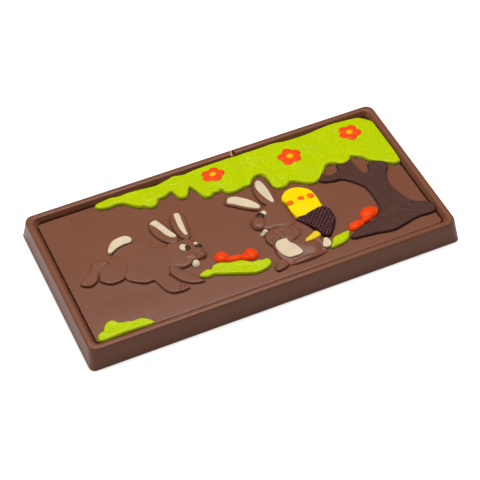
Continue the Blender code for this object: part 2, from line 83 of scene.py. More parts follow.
level_back = Vector((math.sin(AZIMUTH), -math.cos(AZIMUTH), 0))
back = level_back * math.cos(ELEVATION) + Vector((0, 0, math.sin(ELEVATION)))
level_right = Vector((math.cos(AZIMUTH), math.sin(AZIMUTH), 0))
level_up = back.cross(level_right)
right = level_right * math.cos(ROLL) + level_up * math.sin(ROLL)
up = level_up * math.cos(ROLL) - level_right * math.sin(ROLL)
camera_data = bpy.data.cameras.new("camera")
camera_data.sensor_width = SENSOR
camera_data.lens = LENS
camera_data.clip_start = CLIP_START
camera = bpy.data.objects.new("camera", camera_data)
eye = back * DISTANCE + right * SHIFT_RIGHT + up * SHIFT_UP
axes = Matrix((right, up, back)).transposed().to_4x4()
camera.matrix_world = Matrix.Translation(eye) @ axes
bpy.context.scene.collection.objects.link(camera)
bpy.context.scene.camera = camera
print("camera at", [round(value, 4) for value in camera.location], "lens", LENS)

# %% [markdown]
# Chocolate shows its form by soft, wide highlights, so the main lamp is a large panel overhead and to the
# back. It hangs so high that its reflection passes over the camera, and the flat panel stays a rich brown.
# Two weaker panels at the sides light the rims, and a small one overhead draws the finer edges. The front
# wall faces away from the lamps and turns dark, and a very faint room keeps its shade from going black.

# %% Light
ROOM_STRENGTH = 0.06
WHITE = (1.0, 1.0, 1.0, 1.0)

scene = bpy.context.scene
scene.view_settings.view_transform = "Standard"
world = bpy.data.worlds.new("faint room")
world.use_nodes = True
world.node_tree.nodes["Background"].inputs["Color"].default_value = WHITE
world.node_tree.nodes["Background"].inputs["Strength"].default_value = ROOM_STRENGTH
scene.world = world


def add_panel_light(name, place, size, power):
    """A square area lamp, turned to face the bar. Place and size are in metres, the power in watts."""
    data = bpy.data.lights.new(name, "AREA")
    data.shape = "SQUARE"
    data.size = size
    data.energy = power
    lamp = bpy.data.objects.new(name, data)
    lamp.matrix_world = Matrix.Translation(place) @ Vector(place).to_track_quat("Z", "Y").to_matrix().to_4x4()
    scene.collection.objects.link(lamp)


LAMPS = [
    ("overhead panel", (0.05, 0.27, 0.87), 0.55, 8.2), ("left panel", (-0.8, 0.2, 0.35), 0.6, 2.5),
    ("small top panel", (0.2, -0.1, 0.9), 0.15, 1.8), ("right panel", (0.8, 0.25, 0.3), 0.4, 1.0),
]
for lamp_values in LAMPS:
    add_panel_light(*lamp_values)
print("lamps:", [lamp_values[0] for lamp_values in LAMPS])

# %% [markdown]
# All the chocolates share one surface. Cast against a smooth mould, it is nearly flat, with slow swells of
# colour, a faint pale bloom and tiny pits, and painted shade darkens the creases between the forms. One node
# group makes these from Object coordinates, and each material places it with its own colours. The group
# puts out only colour, roughness and height, and the shader itself stays in the material.

# %% Sockets of the surface group
CAST = bpy.data.node_groups.new("cast surface", "ShaderNodeTree")
SOCKETS = [
    ("INPUT", "NodeSocketColor", ["Colour", "Second Colour", "Bloom Colour"]),
    ("INPUT", "NodeSocketFloat", ["Bloom", "Swell Scale", "Grain Scale", "Roughness"]),
    ("OUTPUT", "NodeSocketColor", ["Colour"]),
    ("OUTPUT", "NodeSocketFloat", ["Roughness", "Height"]),
]
for way, kind, socket_names in SOCKETS:
    for socket_name in socket_names:
        CAST.interface.new_socket(name=socket_name, in_out=way, socket_type=kind)
given = CAST.nodes.new("NodeGroupInput")
out = CAST.nodes.new("NodeGroupOutput")
place = CAST.nodes.new("ShaderNodeTexCoord")
print("surface group with sockets", [item.name for item in CAST.interface.items_tree])


# %% Helpers for the group's nodes
def feed(socket, source):
    """Links a socket to another node's output, or gives it a fixed value."""
    if isinstance(source, bpy.types.NodeSocket):
        CAST.links.new(source, socket)
    else:
        socket.default_value = source


def add_noise(scale, detail):
    """Smooth noise over the piece, from 0 to 1."""
    texture = CAST.nodes.new("ShaderNodeTexNoise")
    feed(texture.inputs["Vector"], place.outputs["Object"])
    feed(texture.inputs["Scale"], scale)
    feed(texture.inputs["Detail"], detail)
    return texture.outputs["Fac"]


def add_mix(factor, first, second, blend="MIX"):
    """A mix of two colours."""
    mix = CAST.nodes.new("ShaderNodeMix")
    mix.data_type = "RGBA"
    mix.blend_type = blend
    feed(mix.inputs["Factor"], factor)
    feed(mix.inputs["A"], first)
    feed(mix.inputs["B"], second)
    return mix.outputs["Result"]


def add_range(value, from_min, from_max, to_min, to_max):
    """A value carried over from one range to another, and held within it."""
    node = CAST.nodes.new("ShaderNodeMapRange")
    feed(node.inputs["Value"], value)
    limits = {"From Min": from_min, "From Max": from_max, "To Min": to_min, "To Max": to_max}
    for socket_name, limit in limits.items():
        feed(node.inputs[socket_name], limit)
    return node.outputs["Result"]


def add_math(operation, *values):
    """The sum or product of the values."""
    node = CAST.nodes.new("ShaderNodeMath")
    node.operation = operation
    for socket, value in zip(node.inputs, values):
        feed(socket, value)
    return node.outputs[0]


# %% [markdown]
# The colour drifts with the slow noise, and the fine noise lays the bloom on it. An Ambient Occlusion node
# then finds the hollows, where other chocolate stands close by, and multiplies a dark tint in there as
# painted shade. It starts where a twelfth of the view from a point is closed off, and is full where half of
# it is.

# %% Colour of the surface
SWELL_DETAIL = 3.0
GRAIN_DETAIL = 4.0
HOLLOW_SAMPLES = 12
HOLLOW_REACH = 0.6 * MM
HOLLOW_OPEN = 0.92
HOLLOW_DEEP = 0.5
PAINTED_SHADE_TINT = (0.3, 0.22, 0.16, 1.0)

swell = add_noise(given.outputs["Swell Scale"], SWELL_DETAIL)
grain = add_noise(given.outputs["Grain Scale"], GRAIN_DETAIL)
drifted = add_mix(swell, given.outputs["Colour"], given.outputs["Second Colour"])
dusting = add_math("MULTIPLY", grain, given.outputs["Bloom"])
bloomed = add_mix(dusting, drifted, given.outputs["Bloom Colour"])
# Painted shade: the hollows found by Ambient Occlusion get a dark tint multiplied into their colour.
hollow = CAST.nodes.new("ShaderNodeAmbientOcclusion")
hollow.samples = HOLLOW_SAMPLES
hollow.inputs["Distance"].default_value = HOLLOW_REACH
painted_shade_amount = add_range(hollow.outputs["AO"], HOLLOW_OPEN, HOLLOW_DEEP, 0.0, 1.0)
feed(out.inputs["Colour"], add_mix(painted_shade_amount, bloomed, PAINTED_SHADE_TINT, "MULTIPLY"))
print("the hollows reach", round(HOLLOW_REACH / MM, 2), "mm")

# %% [markdown]
# The roughness drifts a little with the colour. The height, which the Bump node of each material reads, adds
# the slow swell, the fine grain and tiny pits, which are the middles of the cells of a Voronoi pattern.

# %% Roughness and height of the surface
ROUGHNESS_DRIFT = 0.03
GRAIN_HEIGHT = 0.35
PIT_SCALE = 420.0
PIT_SIZE = 0.12
PIT_DEPTH = 0.25

drift = add_range(swell, 0.0, 1.0, -ROUGHNESS_DRIFT, ROUGHNESS_DRIFT)
feed(out.inputs["Roughness"], add_math("ADD", drift, given.outputs["Roughness"]))
pits = CAST.nodes.new("ShaderNodeTexVoronoi")
feed(pits.inputs["Scale"], PIT_SCALE)
feed(pits.inputs["Vector"], place.outputs["Object"])
pitting = add_range(pits.outputs["Distance"], 0.0, PIT_SIZE, -PIT_DEPTH, 0.0)
grains = add_math("MULTIPLY_ADD", grain, GRAIN_HEIGHT, pitting)
feed(out.inputs["Height"], add_math("ADD", grains, swell))
print("surface group with", len(CAST.nodes), "nodes and", len(CAST.links), "links")

# %% [markdown]
# Each chocolate is then a short recipe: its measured colour, a second tone that it drifts to, how much
# bloom it carries, and how glossy it set. The coloured chocolates are white chocolate with colour in it.
# Light goes a little way into them, so some have depth, and their shine takes on their colour. The milk
# chocolate and the leaves also have a thin coat, the gloss that a polished mould leaves.

# %% Chocolate maker
BUMP = 0.03 * MM
CHOCOLATE_IOR = 1.46
COAT_ROUGHNESS = 0.15
DEPTH_RADIUS = (1.0, 0.9, 0.2)
DEPTH_SCALE = 0.6 * MM


def srgb(red, green, blue):
    """A colour measured as 0 to 255 on screen, as the linear values that Blender's sockets take."""
    def linear(value):
        value = value / 255
        return value / 12.92 if value <= 0.04045 else ((value + 0.055) / 1.055) ** 2.4
    return (linear(red), linear(green), linear(blue), 1.0)


def make_chocolate(
    name, colour, second, bloom_colour, bloom, roughness, gloss=0.17, swell=90.0, grain=900.0,
    shine=(255, 255, 255), depth=0.0, coat=0.0,
):
    """A material on the shared surface. Colours are 0 to 255 on screen, and the noise scales per metre."""
    material = bpy.data.materials.new(name)
    material.use_nodes = True
    nodes, links = material.node_tree.nodes, material.node_tree.links
    shader = nodes["Principled BSDF"]
    finish = {
        "IOR": CHOCOLATE_IOR, "Specular IOR Level": gloss, "Specular Tint": srgb(*shine),
        "Coat Weight": coat, "Coat Roughness": COAT_ROUGHNESS,
        "Subsurface Weight": depth, "Subsurface Radius": DEPTH_RADIUS, "Subsurface Scale": DEPTH_SCALE,
    }
    for socket_name, value in finish.items():
        shader.inputs[socket_name].default_value = value
    cast = nodes.new("ShaderNodeGroup")
    cast.node_tree = CAST
    recipe = {
        "Colour": srgb(*colour), "Second Colour": srgb(*second), "Bloom Colour": srgb(*bloom_colour),
        "Bloom": bloom, "Swell Scale": swell, "Grain Scale": grain, "Roughness": roughness,
    }
    for socket_name, value in recipe.items():
        cast.inputs[socket_name].default_value = value
    relief = nodes.new("ShaderNodeBump")
    relief.inputs["Distance"].default_value = BUMP
    links.new(cast.outputs["Colour"], shader.inputs["Base Color"])
    links.new(cast.outputs["Roughness"], shader.inputs["Roughness"])
    links.new(cast.outputs["Height"], relief.inputs["Height"])
    links.new(relief.outputs["Normal"], shader.inputs["Normal"])
    return material


# %% Brown and cream chocolates
MILK = make_chocolate(
    "milk chocolate", (108, 61, 39), (113, 66, 44), (146, 104, 82), bloom=0.1, roughness=0.4, coat=0.12,
)
DARK = make_chocolate(
    "dark chocolate", (64, 35, 28), (72, 43, 35), (110, 84, 74), bloom=0.12, roughness=0.5, gloss=0.12,
)
BASKET = make_chocolate(
    "basket chocolate", (60, 20, 16), (52, 18, 14), (100, 60, 54), bloom=0.04, roughness=0.22, gloss=0.18,
)
# Painted shade: a dark chocolate that stands in for the shade in the crease, on the wall's foot and inside
# the chip.
PAINTED_CREASE_SHADE = make_chocolate(
    "painted crease shade", (52, 24, 12), (84, 44, 22), (120, 70, 40), bloom=0.2, roughness=0.2, gloss=0.4,
    swell=400.0,
)
PUPIL = make_chocolate(
    "pupil chocolate", (44, 20, 12), (52, 26, 18), (80, 60, 52), bloom=0.08, roughness=0.3,
)
BROKEN = make_chocolate(
    "broken chocolate", (206, 158, 120), (170, 118, 84), (214, 176, 140), bloom=0.3, roughness=0.7,
)
CREAM = make_chocolate(
    "cream chocolate", (222, 202, 162), (180, 164, 146), (222, 204, 182), bloom=0.2, roughness=0.36,
    swell=220.0, depth=0.2,
)
print("made", len(bpy.data.materials), "brown and cream chocolates")

# %% Coloured chocolates
LEAF = make_chocolate(
    "leaf green chocolate", (178, 194, 0), (164, 186, 0), (196, 206, 0), bloom=0.06, roughness=0.3,
    gloss=0.2, shine=(255, 255, 50), depth=0.5, coat=0.1,
)
ORANGE = make_chocolate(
    "orange chocolate", (228, 66, 10), (220, 54, 8), (236, 110, 40), bloom=0.05, roughness=0.3, gloss=0.2,
    shine=(255, 170, 110), depth=0.3,
)
PETAL = make_chocolate(
    "petal chocolate", (228, 60, 14), (226, 70, 12), (236, 120, 50), bloom=0.05, roughness=0.34, gloss=0.2,
    shine=(255, 190, 150),
)
YELLOW = make_chocolate(
    "yellow chocolate", (242, 208, 0), (240, 198, 0), (242, 220, 20), bloom=0.04, roughness=0.3, gloss=0.2,
    shine=(255, 250, 80), depth=0.3,
)
DOT = make_chocolate(
    "egg dot chocolate", (238, 98, 8), (236, 90, 8), (240, 130, 30), bloom=0.05, roughness=0.34, gloss=0.15,
)
HEART = make_chocolate(
    "flower heart chocolate", (240, 176, 6), (238, 160, 6), (240, 200, 40), bloom=0.04, roughness=0.34,
    gloss=0.15, shine=(255, 230, 100),
)
STRAP = make_chocolate(
    "strap chocolate", (226, 190, 0), (214, 178, 0), (230, 214, 60), bloom=0.05, roughness=0.34,
)
print("made", len(bpy.data.materials), "chocolates in all")

# %% [markdown]
# The floor is a plain pale sheet, and not a part of the bar. Lit by the lamps alone it would look grey.
# So it also glows, but only for the camera, and the glow lights nothing.

# %% Floor
FLOOR_SIZE = 4.0
FLOOR_GLOW = 0.4
FLOOR = make_chocolate(
    "pale floor", (250, 250, 250), (248, 248, 248), (252, 252, 252), bloom=0.1, roughness=0.6, gloss=0.2,
    swell=4.0, grain=60.0,
)
floor_nodes, floor_links = FLOOR.node_tree.nodes, FLOOR.node_tree.links
light_path = floor_nodes.new("ShaderNodeLightPath")
glow = floor_nodes.new("ShaderNodeMath")
glow.operation = "MULTIPLY"
glow.inputs[1].default_value = FLOOR_GLOW
floor_shader = floor_nodes["Principled BSDF"]
floor_shader.inputs["Emission Color"].default_value = WHITE
floor_links.new(light_path.outputs["Is Camera Ray"], glow.inputs[0])
floor_links.new(glow.outputs[0], floor_shader.inputs["Emission Strength"])

floor_bm = bmesh.new()
bmesh.ops.create_grid(floor_bm, x_segments=1, y_segments=1, size=FLOOR_SIZE / 2)
floor_mesh = bpy.data.meshes.new("floor")
floor_bm.to_mesh(floor_mesh)
floor_bm.free()
floor_mesh.materials.append(FLOOR)
floor = bpy.data.objects.new("floor", floor_mesh)
scene.collection.objects.link(floor)
print("a floor of", FLOOR_SIZE, "m")

# %% [markdown]
# The relief stands on the panel, so every height is counted from the panel's top. Outlines are short lists
# of points in mm, measured on the solid's own axes. A smooth curve runs through the points, and the distance
# of a mesh point from that curve says how far in from the edge it lies.

# %% Heights, points and paths
HEIGHT = cad_bounds[1][2]
PANEL_DEPTH = 2.2 * MM
PANEL_TOP = HEIGHT - PANEL_DEPTH
TINY = 1e-12


def mesh_of(bm, name):
    """Writes a bmesh to a new mesh and frees it."""
    mesh = bpy.data.meshes.new(name)
    bm.to_mesh(mesh)
    bm.free()
    return mesh


def positions(mesh):
    """The mesh's points as rows of x, y and z in metres."""
    points = np.empty(len(mesh.vertices) * 3)
    mesh.vertices.foreach_get("co", points)
    return points.reshape(-1, 3)


def set_positions(mesh, points):
    """Moves the mesh's points to the rows of x, y and z."""
    mesh.vertices.foreach_set("co", points.ravel())
    mesh.update()


def smooth_path(points, steps, closed):
    """Points in mm along the smooth curve through the given ones, as Vectors in metres."""
    count = len(points)
    spans = count if closed else count - 1
    path = []
    for index in range(spans):
        ends = [index - 1, index, index + 1, index + 2]
        ends = [i % count if closed else min(max(i, 0), count - 1) for i in ends]
        before, start, end, after = (Vector((*points[i], 0)) * MM for i in ends)
        reach = (end - start).length / 3
        lead = start + (end - before).normalized() * reach
        trail = end - (after - start).normalized() * reach
        path += geometry.interpolate_bezier(start, lead, trail, end, steps + 1)[:-1]
    return path if closed else path + [Vector((*points[-1], 0)) * MM]


def distance_to(points, paths):
    """How far each point lies from the nearest of the paths, seen from above, in metres."""
    nearest = np.full(len(points), np.inf)
    for path in paths:
        corners = [np.array(co.xy) for co in path]
        for start, end in zip(corners, corners[1:]):
            run = end - start
            along = np.clip((points[:, :2] - start) @ run / max(run @ run, TINY), 0, 1)
            gap = points[:, :2] - start - along[:, None] * run
            nearest = np.minimum(nearest, np.hypot(gap[:, 0], gap[:, 1]))
    return nearest


print("the panel lies at", round(PANEL_TOP / MM, 2), "mm")

# %% [markdown]
# Three helpers make nearly every form. A dome is a sphere pressed flat, sunk into the panel. A pillow is a
# smooth outline, extruded and remeshed to a fine skin, whose points then sink to a quarter round by their
# distance from the outline. Fuse joins such forms as a cast does: a voxel remesh turns them into one skin,
# and a few rounds of smoothing soften the creases between them. Carving them by hand in one mesh would be
# the other way, but then no form could be moved by itself.

# %% Domes, pillows and fusing
ROOT = 0.5 * MM
OUTLINE_STEPS = 6
SOFTENING_FACTOR = 0.5


def dome(x, y, half_x, half_y, rise, turn=0.0, base=-0.15, detail=4):
    """A flattened ball, its middle at the base height and its top at the rise, in mm above the panel."""
    place = Matrix.Translation((x * MM, y * MM, PANEL_TOP + base * MM))
    place = place @ Matrix.Rotation(math.radians(turn), 4, "Z")
    place = place @ Matrix.Diagonal((half_x * MM, half_y * MM, (rise - base) * MM, 1))
    bm = bmesh.new()
    bmesh.ops.create_icosphere(bm, subdivisions=detail, radius=1, matrix=place)
    return mesh_of(bm, "dome")


def fuse(name, forms, voxel, softening):
    """Joins closed forms into one skin and softens it so many times. The voxel is in mm."""
    bm = bmesh.new()
    for form in forms:
        bm.from_mesh(form)
        bpy.data.meshes.remove(form)
    obj = bpy.data.objects.new(name, mesh_of(bm, name))
    scene.collection.objects.link(obj)
    remesh = obj.modifiers.new("fuse", "REMESH")
    remesh.mode = "VOXEL"
    remesh.voxel_size = voxel * MM
    fused = bpy.data.meshes.new_from_object(obj.evaluated_get(bpy.context.evaluated_depsgraph_get()))
    bpy.data.objects.remove(obj)
    bm = bmesh.new()
    bm.from_mesh(fused)
    for _ in range(softening):
        bmesh.ops.smooth_vert(
            bm, verts=bm.verts, factor=SOFTENING_FACTOR, use_axis_x=True, use_axis_y=True, use_axis_z=True,
        )
    bm.to_mesh(fused)
    bm.free()
    return fused


def pillow(points, rise, rounding, voxel=0.2):
    """A smooth outline that swells up from its edge to a flat top. Sizes are in mm."""
    path = smooth_path(points, OUTLINE_STEPS, True)
    bm = bmesh.new()
    base = bm.faces.new([bm.verts.new((co.x, co.y, PANEL_TOP - ROOT)) for co in path])
    raised = bmesh.ops.extrude_face_region(bm, geom=[base])["geom"]
    top = [item for item in raised if isinstance(item, bmesh.types.BMVert)]
    bmesh.ops.translate(bm, verts=top, vec=(0, 0, ROOT + rise * MM))
    bmesh.ops.recalc_face_normals(bm, faces=bm.faces)
    mesh = fuse("pillow", [mesh_of(bm, "pillow")], voxel, softening=1)
    points = positions(mesh)
    inward = distance_to(points, [path + path[:1]]) / (rounding * MM)
    crown = PANEL_TOP + rise * MM * np.sqrt(1 - (1 - np.clip(inward, 0, 1)) ** 2)
    points[:, 2] = np.minimum(points[:, 2], crown)
    set_positions(mesh, points)
    return mesh


print("every form is rooted", round(ROOT / MM, 2), "mm deep in the panel")

# %% [markdown]
# Three more work on the skin of a finished form. Engrave presses soft grooves into it, for the lines of a
# drawing. Fade lets the top slope away beyond a line, so that the form runs out into the panel without an
# edge. Roughen lifts and sinks it by smooth noise, which a seed moves to another place for each form.

# %% Grooves, fades and rough tops
STROKE_STEPS = 5
GROOVE_FLOOR = 0.1 * MM
SEED_STRIDES = (7.3, 3.1, 1.7)


def engrave(mesh, strokes, width, depth):
    """Presses soft grooves into the top of a mesh, along smooth strokes through points in mm."""
    points = positions(mesh)
    gap = distance_to(points, [smooth_path(stroke, STROKE_STEPS, False) for stroke in strokes])
    press = np.clip(1 - gap / (width * MM), 0, 1)
    press = press * press * (3 - 2 * press)
    above = points[:, 2] > PANEL_TOP - GROOVE_FLOOR
    points[above, 2] -= (depth * MM * press)[above]
    set_positions(mesh, points)


def fade(mesh, turn, start, slope):
    """Lets the top of a mesh fall away beyond a line: its direction, its distance in mm and the slope."""
    points = positions(mesh)
    turn = math.radians(turn)
    beyond = points[:, 0] * math.cos(turn) + points[:, 1] * math.sin(turn) - start * MM
    above = points[:, 2] > PANEL_TOP
    points[above, 2] -= (slope * np.clip(beyond, 0, None))[above]
    set_positions(mesh, points)


def roughen(mesh, size, amount, seed):
    """Lifts and sinks the top of a mesh by smooth noise of a given size, in mm."""
    points = positions(mesh)
    shift = Vector([seed * stride for stride in SEED_STRIDES])
    for index, co in enumerate(points):
        if co[2] > PANEL_TOP:
            points[index, 2] += amount * MM * noise.noise(Vector(co) / (size * MM) + shift)
    set_positions(mesh, points)


# %% Pieces of the bar
def add_piece(name, mesh, material):
    """Names the mesh as a piece of the bar, paints it and lets it ride on the bar's body."""
    mesh.name = name
    mesh.materials.clear()
    mesh.materials.append(material)
    mesh.shade_smooth()
    piece = bpy.data.objects.new(name, mesh)
    scene.collection.objects.link(piece)
    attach(piece, BODY)
    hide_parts(NODE)
    print(name, "has", len(mesh.polygons), "faces")
    return piece


# %% [markdown]
# The slab is a drafted tray with round corners. A box with bevelled edges would give every corner the same
# radius, but here the outside corners are rounder than those of the panel. So each level is its own
# rounded rectangle, made from four corners with a vertex bevel, and bridging the levels makes the walls.
# A narrow crease runs round the panel at the foot of the rim. Two levels of the same height would confuse
# the bridging, so each level of the crease, and each side of the rim's top, has a height of its own.

# %% Measures of the slab
HALF_LENGTH = cad_bounds[1][0]
HALF_WIDTH = cad_bounds[1][1]
END_DRAFT = 1.0 * MM
SIDE_DRAFT = 1.5 * MM
FOOT_CORNER_RADIUS = 2.3 * MM
TOP_CORNER_RADIUS = 3.6 * MM
FOOT_ROUNDING = 0.3 * MM
RIM_WIDTH = 2.9 * MM
RIM_ROUNDING = 0.9 * MM
RIM_INNER_RADIUS = 2.5 * MM
RIM_FALL = 0.05 * MM
PANEL_DRAFT = 1.0 * MM
PANEL_CORNER_RADIUS = 2.0 * MM
CREASE_WIDTH = 0.5 * MM
CREASE_DEPTH = 0.6 * MM
CREASE_REACH = 0.35 * MM
CREASE_PROFILE = ((0.0, 0.4), (0.25, 0.9), (0.65, 1.0), (1.0, 0.06), (2.0, 0.0))
CORNER_SEGMENTS = 10
ROUNDING_STEPS = 5
FLAT_MARGIN = 0.4 * MM
print("the slab is", [round(2 * half / MM, 1) for half in (HALF_LENGTH, HALF_WIDTH)], "mm at its foot")


# %% Levels of the slab
def rounded_rectangle(bm, draft, inset, radius, z):
    """The edges of one level of the slab: four corners, rounded by a vertex bevel."""
    known = set(bm.edges)
    half_x = HALF_LENGTH - draft * END_DRAFT - inset
    half_y = HALF_WIDTH - draft * SIDE_DRAFT - inset
    corners = [bm.verts.new((x * half_x, y * half_y, z)) for x, y in ((1, 1), (-1, 1), (-1, -1), (1, -1))]
    bm.faces.new(corners)
    bmesh.ops.bevel(
        bm, geom=corners, offset=radius, offset_type="OFFSET", segments=CORNER_SEGMENTS, profile=0.5,
        affect="VERTICES", material=-1,
    )
    edges = [edge for edge in bm.edges if edge not in known]
    inside = list({face for edge in edges for face in edge.link_faces})
    bmesh.ops.delete(bm, geom=inside, context="FACES_ONLY")
    return edges


def slab_levels():
    """Each level from the underside up and in, as (share of the draft, further inset, corner radius, z)."""
    margin = FOOT_ROUNDING + FLAT_MARGIN
    levels = [(0, margin, FOOT_CORNER_RADIUS - margin, 0.0)]
    for step in range(ROUNDING_STEPS + 1):
        angle = math.pi / 2 * step / ROUNDING_STEPS
        inset = FOOT_ROUNDING * (1 - math.sin(angle))
        levels.append((0, inset, FOOT_CORNER_RADIUS - inset, FOOT_ROUNDING * (1 - math.cos(angle))))
    for step in range(ROUNDING_STEPS + 1):
        angle = math.pi / 2 * step / ROUNDING_STEPS
        inset = RIM_ROUNDING * (1 - math.cos(angle))
        levels.append((1, inset, TOP_CORNER_RADIUS - inset, HEIGHT - RIM_ROUNDING * (1 - math.sin(angle))))
    for step in range(ROUNDING_STEPS + 1):
        angle = math.pi / 3 * step / ROUNDING_STEPS
        inset = RIM_WIDTH - RIM_ROUNDING * (1 - math.sin(angle))
        levels.append((1, inset, RIM_INNER_RADIUS, HEIGHT - RIM_FALL - RIM_ROUNDING * (1 - math.cos(angle))))
    foot = RIM_WIDTH + PANEL_DRAFT
    levels.append((1, foot - CREASE_REACH, PANEL_CORNER_RADIUS, PANEL_TOP + CREASE_REACH))
    for reach, drop in CREASE_PROFILE:
        in_from_foot = reach * CREASE_WIDTH
        radius = PANEL_CORNER_RADIUS - in_from_foot / 2
        levels.append((1, foot + in_from_foot, radius, PANEL_TOP - drop * CREASE_DEPTH))
    return levels


# %% The slab with its rim
slab_bm = bmesh.new()
rings = [rounded_rectangle(slab_bm, *level) for level in slab_levels()]
for lower, upper in zip(rings, rings[1:]):
    bmesh.ops.bridge_loops(slab_bm, edges=lower + upper)
bmesh.ops.contextual_create(slab_bm, geom=rings[0])
bmesh.ops.contextual_create(slab_bm, geom=rings[-1])
bmesh.ops.recalc_face_normals(slab_bm, faces=slab_bm.faces)
slab = add_piece("slab", mesh_of(slab_bm, "slab"), MILK)

# %% [markdown]
# The crease is filled with shade, and a dark chocolate stands for that. It also takes a low band of the wall
# above the crease, but not at the left end, where the wall faces the light and stays pale.

# %% The dark of the crease
CREASE_EDGE = 0.1
BAND_START = -HALF_LENGTH / 2


def in_shade(centre):
    """Whether the middle of a face lies in the crease, or in the band of the wall above it."""
    drop = PANEL_TOP - centre.z
    within = abs(centre.x) < HALF_LENGTH - RIM_WIDTH and abs(centre.y) < HALF_WIDTH - RIM_WIDTH
    in_crease = CREASE_EDGE * CREASE_DEPTH < drop < CREASE_DEPTH
    in_band = -CREASE_REACH < drop < 0 and centre.x > BAND_START
    return within and (in_crease or in_band)


# The crease and the low band of the wall take the dark chocolate as painted shade.
slab.data.materials.append(PAINTED_CREASE_SHADE)
crease_index = slab.data.materials.find(PAINTED_CREASE_SHADE.name)
shaded = [face for face in slab.data.polygons if in_shade(face.center)]
for face in shaded:
    face.material_index = crease_index
print(len(shaded), "faces of the slab lie in the shade of the crease")

# %% [markdown]
# One flake has broken out of the back rim. It takes two Boolean cuts with lying cones, which are wide at
# the panel and run out to a point at the outer edge. The first is wide and shallow, and takes the pale,
# dull colour of broken chocolate from its cone. The second is narrow and deep, and leaves the dark crease
# chocolate inside the notch as painted shade.

# %% The chip in the back rim
CHIP_POINT_INSET = 1.5 * MM
CHIP_LENGTH = 3.9 * MM
CHIP_SIDES = 11
# The second cut paints shade: its cone carries the dark crease chocolate into the notch.
CHIP_CUTS = [(12.7, 1.8, 1.3, BROKEN), (13.1, 1.05, 2.0, PAINTED_CREASE_SHADE)]
SHARP_ANGLE = math.radians(40)


def cut_chip(slab, x, half_width, depth, material):
    """Takes a lying cone out of the rim, and leaves its material there. The numbers are in mm."""
    place = Matrix.Translation((x * MM, HALF_WIDTH - CHIP_POINT_INSET - CHIP_LENGTH / 2, HEIGHT))
    place = place @ Matrix.Diagonal((half_width * MM, 1, depth * MM, 1))
    place = place @ Matrix.Rotation(math.radians(-90), 4, "X")
    bm = bmesh.new()
    bmesh.ops.create_cone(
        bm, cap_ends=True, segments=CHIP_SIDES, radius1=1, radius2=0, depth=CHIP_LENGTH, matrix=place,
    )
    mesh = mesh_of(bm, "chip cutter")
    mesh.materials.append(material)
    cutter = bpy.data.objects.new("chip cutter", mesh)
    scene.collection.objects.link(cutter)
    cut = slab.modifiers.new("chip", "BOOLEAN")
    cut.operation = "DIFFERENCE"
    cut.object = cutter
    cut.material_mode = "TRANSFER"
    chipped = bpy.data.meshes.new_from_object(slab.evaluated_get(bpy.context.evaluated_depsgraph_get()))
    slab.modifiers.clear()
    slab.data = chipped
    bpy.data.objects.remove(cutter)


for chip_cut in CHIP_CUTS:
    cut_chip(slab, *chip_cut)
slab.data.set_sharp_from_angle(angle=SHARP_ANGLE)
print("the chipped slab has", len(slab.data.polygons), "faces and", len(slab.data.materials), "materials")

# %% [markdown]
# The ground under the running rabbit swells up by a hair. It is one very low dome in the slab's own
# chocolate, and only its far edge shows, as a faint arc.

# %% The ground swell
ground_mesh = dome(x=-56.5, y=-22.8, half_x=16.0, half_y=9.9, rise=0.15, base=-0.2, detail=5)
add_piece("ground_swell", ground_mesh, MILK)

# %% [markdown]
# The leaves fill the back of the panel. They are one long outline with a ragged front edge, because the
# green chocolate was brushed into one hollow of the mould. Slow and fine noise make the top as uneven as
# brushed-in chocolate. The voxel is a little larger than elsewhere, to keep so large a piece light.

